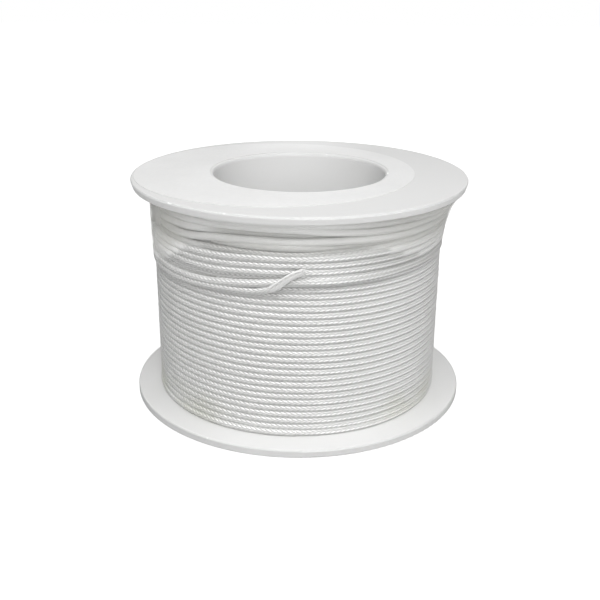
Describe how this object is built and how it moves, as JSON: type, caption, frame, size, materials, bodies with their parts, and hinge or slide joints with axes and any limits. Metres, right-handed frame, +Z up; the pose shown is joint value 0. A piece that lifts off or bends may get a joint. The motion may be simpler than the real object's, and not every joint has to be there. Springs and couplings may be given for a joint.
{
  "type": "string reel",
  "caption": "Moulded plastic reel with two round flanges and a wide open bore, wound full of thin white braided cord, its free end laid over the upper turns.",
  "frame": {"origin": "centre of the bottom flange's outer face, on the bore's axis", "axes": "+Z up the bore's axis towards the labelled flange, +X towards the side where the film spreads to the rim, and the cord's free end shows on the -Y side"},
  "size_m": [0.1016, 0.1016, 0.0681],
  "materials": {
    "spool_plastic": "satin",
    "label_paper": "matte",
    "braided_cord": "satin",
    "paper_tape": "matte",
    "clear_film": "gloss"
  },
  "bodies": {
    "root": {"lower_flange": "spool_plastic", "upper_flange": "spool_plastic", "flange_label": "label_paper", "start_tape": "paper_tape", "cord_core": "braided_cord", "lower_turns": "braided_cord", "upper_turns": "braided_cord", "clear_wrap": "clear_film"}
  },
  "joints": []
}
